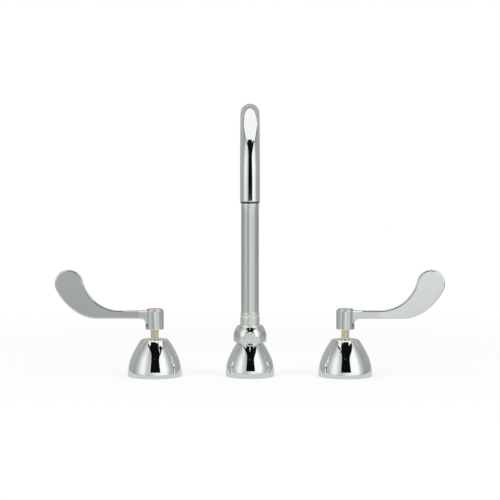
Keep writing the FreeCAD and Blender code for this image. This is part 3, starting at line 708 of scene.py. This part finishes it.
place(nut, "spout_nut", "fixed_pieces", "nut_chrome")

# %% [markdown]
# The collar is a turned ring that is brazed on the tube. It steps in near its top to a thin ring, and
# both of its edges are rounded, which in satin chrome reads as one dark line between two pale ones.

# %% The collar
low, high, middle = node_size("spout_collar")
collar_radius, flange_radius = 10.3 * MM, 11.2 * MM
ring_radius = 9.95 * MM
collar_step = 62.9 * MM
flange_top, flange_height = low.z + 26.4 * MM, 2.4 * MM
spigot_radius, bore_radius = 7.9 * MM, 4.8 * MM
socket_floor = high.z - 12 * MM
step_edge = arc((collar_radius, collar_step - 0.5 * MM), (ring_radius + 0.1 * MM, collar_step), 0.1 * MM, 5)
ring_edge = arc((ring_radius, high.z - 0.7 * MM), (tube_radius, high.z), 0.12 * MM, 5)
collar = turn("spout_collar_ring", [
    (bore_radius, low.z), (spigot_radius - 0.5 * MM, low.z), (spigot_radius, low.z + 0.5 * MM),
    (spigot_radius, flange_top - flange_height), (flange_radius, flange_top - flange_height),
    (flange_radius, flange_top), (collar_radius, flange_top), *step_edge,
    (ring_radius - 0.12 * MM, collar_step + 0.25 * MM), (ring_radius, collar_step + 0.6 * MM),
    *ring_edge, (tube_radius, socket_floor), (bore_radius, socket_floor)])
place(collar, "spout_collar", "spout", "collar_chrome")

# %% [markdown]
# The gooseneck is one tube, drawn up, bent over and rolled in at its end. In edit mode that is a walk
# with one ring of edges: extruded up the riser, spun over the bend, extruded down the leg, and turned
# round the lip by small steps that shrink it. Then the same ring walks back inside, so that the outlet
# shows a real wall.

# %% The gooseneck
low, high, middle = node_size("gooseneck")
tube_bore = tube_radius - 1.2 * MM
tube_foot = low.z
reach = -low.y - tube_radius
bend_height = high.z - tube_radius - reach / 2
lip_radius = 2.1 * MM
lip_inside = tube_radius - lip_radius
bend_steps = 120
support = 0.3 * MM


def extrude_ring(offset):
    bpy.ops.mesh.extrude_region_move(TRANSFORM_OT_translate={"value": offset})


def shrink_ring(share, centre):
    bpy.ops.transform.resize(value=(share, share, 1), center_override=centre)


bpy.ops.object.select_all(action="DESELECT")
bpy.ops.mesh.primitive_circle_add(vertices=128, radius=tube_radius, location=(0, 0, tube_foot))
tube = bpy.context.object
bpy.ops.object.transform_apply()
tube.name = tube.data.name = "gooseneck_tube"
bpy.ops.object.mode_set(mode="EDIT")
bpy.ops.mesh.select_all(action="SELECT")
extrude_ring((0, 0, bend_height - support - tube_foot))
extrude_ring((0, 0, support))
bpy.ops.mesh.spin(steps=bend_steps, angle=-math.pi, center=(0, -reach / 2, bend_height), axis=(1, 0, 0))
lip_top = outlet_height + lip_radius
extrude_ring((0, 0, -support))
extrude_ring((0, 0, lip_top + 2 * support - bend_height))
extrude_ring((0, 0, -support))
radius, height = tube_radius, lip_top
lip_path = [(tube_radius - lip_radius * (1 - math.cos(math.radians(angle))),
             lip_top - lip_radius * math.sin(math.radians(angle))) for angle in range(9, 91, 9)]
lip_path += [(lip_inside - 0.25 * MM, outlet_height + 0.12 * MM),
             (lip_inside - 0.35 * MM, outlet_height + 0.6 * MM),
             (lip_inside, outlet_height + 1.2 * MM), (tube_bore, lip_top)]
for new_radius, new_height in lip_path:
    extrude_ring((0, 0, new_height - height))
    shrink_ring(new_radius / radius, (0, -reach, new_height))
    radius, height = new_radius, new_height
extrude_ring((0, 0, bend_height - lip_top))
bpy.ops.mesh.spin(steps=bend_steps, angle=math.pi, center=(0, -reach / 2, bend_height), axis=(1, 0, 0))
extrude_ring((0, 0, tube_foot - bend_height))
bpy.ops.mesh.select_all(action="DESELECT")
bpy.ops.mesh.select_non_manifold()
bpy.ops.mesh.bridge_edge_loops()
tidy_mesh(tube, 40)
place(tube, "gooseneck", "spout", "tube_chrome")

# %% [markdown]
# The lever is a casting: a round hub, a lug and an arm, and a flat blade that sweeps up so that a wrist
# can push it. Seen from the user it is one outline of five arcs, and seen from above it is a wedge that
# thins from the hub to the blade. A solid that has both is the outline, extruded across, cut by the
# wedge, extruded up. A bevel then rounds its long edges before the hub is joined on.

# %% The lever's outline
hub_radius = 9.75 * MM
arm_top, arm_bottom, arm_end = 70.1 * MM, 61.0 * MM, 36.8 * MM
arm_fillet = 4.3 * MM
lever_arcs = [(41.0, 77.0, 24), (14.9, -192.7, 56), (59.5, -32.0, 16)]


def walk_arc(points, heading, radius, turn_by, steps):
    """Adds points along an arc that goes on from the last point; a positive turn bends upwards."""
    for _ in range(steps):
        half = math.radians(turn_by / steps / 2)
        chord = 2 * radius * math.sin(abs(half))
        heading += half
        x, z = points[-1]
        points.append((x + chord * math.cos(heading), z + chord * math.sin(heading)))
        heading += half
    return heading


side_view = [(0, arm_top), (hub_radius, arm_top), (arm_end, arm_top)]
heading = 0.0
for radius, turn_by, steps in lever_arcs:
    heading = walk_arc(side_view, heading, radius * MM, turn_by, steps)
heel_turn = math.degrees(heading) + 180
heel_radius = (side_view[-1][1] - arm_bottom) / (1 - math.cos(math.radians(heel_turn)))
walk_arc(side_view, heading, heel_radius, -heel_turn, 20)
fillet = arc((hub_radius + arm_fillet, arm_bottom), (hub_radius, arm_bottom - arm_fillet),
             arm_fillet * (1 - math.sqrt(0.5)), 8)
side_view += [*fillet, (0, arm_bottom - arm_fillet)]
print("lever reaches", round(max(x for x, z in side_view) / MM, 1), "mm from its axis")

# %% The lever's plan
lug_half, arm_half, blade_half = 8.5 * MM, 3.7 * MM, 2.3 * MM
lug_corner, lug_end = (6 * MM, 6.9 * MM), (17 * MM, arm_half)
blade_start = (arm_end, blade_half)
far, plan_height = 120 * MM, 200 * MM
plan_half = [
    (0, lug_half), *corner((0, lug_half), lug_corner, lug_end, 6 * MM, 4),
    *corner(lug_corner, lug_end, blade_start, 9 * MM, 8),
    *corner(lug_end, blade_start, (far, blade_half), 120 * MM, 10), (far, blade_half)]


def filled(name, points, offset):
    """A flat outline in the XZ plane, filled and extruded."""
    piece = draw(name, [*points, points[0]])
    bpy.ops.mesh.select_all(action="SELECT")
    bpy.ops.mesh.remove_doubles(threshold=same_place)
    bpy.ops.mesh.edge_face_add()
    bpy.ops.mesh.extrude_region_move(TRANSFORM_OT_translate={"value": offset})
    tidy_mesh(piece)
    return piece


plan_outline = plan_half + [(x, -y) for x, y in reversed(plan_half)]
plan = filled("lever_plan", plan_outline, (0, -plan_height, 0))
plan.data.transform(Matrix.Rotation(-math.pi / 2, 4, "X"))
plan_low = min(vertex.co.z for vertex in plan.data.vertices)
plan_high = max(vertex.co.z for vertex in plan.data.vertices)
print("plan stands from z", round(plan_low, 3), "to", round(plan_high, 3))

# %% The levers
hub_bottom, hub_top = 50.0 * MM, 70.4 * MM
hub_edge, hub_chamfer = 0.8 * MM, 0.4 * MM
lever_edge = 1.5 * MM
stem_bore = (4.35 * MM, hub_bottom - 1 * MM, hub_bottom + 12.6 * MM)
screw_hole = (2.25 * MM, hub_bottom + 10 * MM, hub_top)
cap_seat = (5.2 * MM, hub_top - 5.4 * MM, hub_top + 1 * MM)
side_hole = (2.05 * MM, 0, 14 * MM)
side_hole_height, side_hole_turn = 54.6 * MM, math.radians(-33)


def make_hub():
    edge = arc((hub_radius, hub_top - hub_edge), (hub_radius - hub_edge, hub_top), 0.293 * hub_edge, 12)
    return turn("hub", [(0, hub_bottom), (hub_radius - hub_chamfer, hub_bottom),
                        (hub_radius, hub_bottom + hub_chamfer), *edge, (0, hub_top)])


def make_lever():
    piece = filled("lever", side_view, (0, 2 * lug_half, 0))
    piece.data.transform(Matrix.Translation((0, -lug_half, 0)))
    combine(piece, plan, "INTERSECT")
    tidy_mesh(piece)
    apply_modifier(piece, "BEVEL", width=lever_edge, segments=5, limit_method="ANGLE",
                   angle_limit=math.radians(40), use_clamp_overlap=False)
    combine(piece, make_hub(), "UNION")
    for hole in (stem_bore, screw_hole, cap_seat):
        combine(piece, bar(*hole), "DIFFERENCE")
    drill = bar(*side_hole, sides=48)
    drill.data.transform(Matrix.Translation((0, 0, side_hole_height))
                         @ Matrix.Rotation(side_hole_turn, 4, "Z") @ Matrix.Rotation(math.pi / 2, 4, "Y"))
    combine(piece, drill, "DIFFERENCE")
    tidy_mesh(piece, 30)
    apply_modifier(piece, "WEIGHTED_NORMAL", keep_sharp=True)
    return piece


cold_lever = make_lever()
hot_lever = cold_lever.copy()
hot_lever.data = cold_lever.data.copy()
bpy.context.scene.collection.objects.link(hot_lever)
hot_lever.data.transform(Matrix.Scale(-1, 4, (1, 0, 0)))
hot_lever.data.flip_normals()
for piece, side in ((cold_lever, "cold"), (hot_lever, "hot")):
    piece.name = piece.data.name = side + "_lever_casting"
    middle = node_size(side + "_bell")[2]
    place(piece, side + "_handle", side + "_lever", "handle_chrome", (middle.x, 0))

# %% [markdown]
# The buttons say hot and cold by colour alone. Each is a moulded cap with a rounded edge and a slightly
# domed top, which is why its top shows pale when it is seen nearly edge-on.

# %% The buttons
button_radius, button_height = 8.5 * MM, 1.8 * MM
plug_radius, plug_edge = 5.15 * MM, 0.15 * MM
side_top, dome_foot = hub_top + 0.7 * MM, (button_radius - 1.1 * MM, hub_top + 1.5 * MM)
button_edge = arc((button_radius, side_top), dome_foot, 0.25 * MM, 8)
button_dome = arc(dome_foot, (0.0, hub_top + button_height), 0.08 * MM, 12)
for side, colour in (("hot", "red"), ("cold", "blue")):
    low, high, middle = node_size(side + "_index_button")
    button = turn(side + "_button_cap", [
        (0, low.z), (plug_radius - plug_edge, low.z), (plug_radius, low.z + 0.2 * MM),
        (plug_radius, hub_top), (button_radius - 0.1 * MM, hub_top), *button_edge, *button_dome[1:]], 96)
    place(button, side + "_index_button", side + "_lever", "index_" + colour, (middle.x, 0))
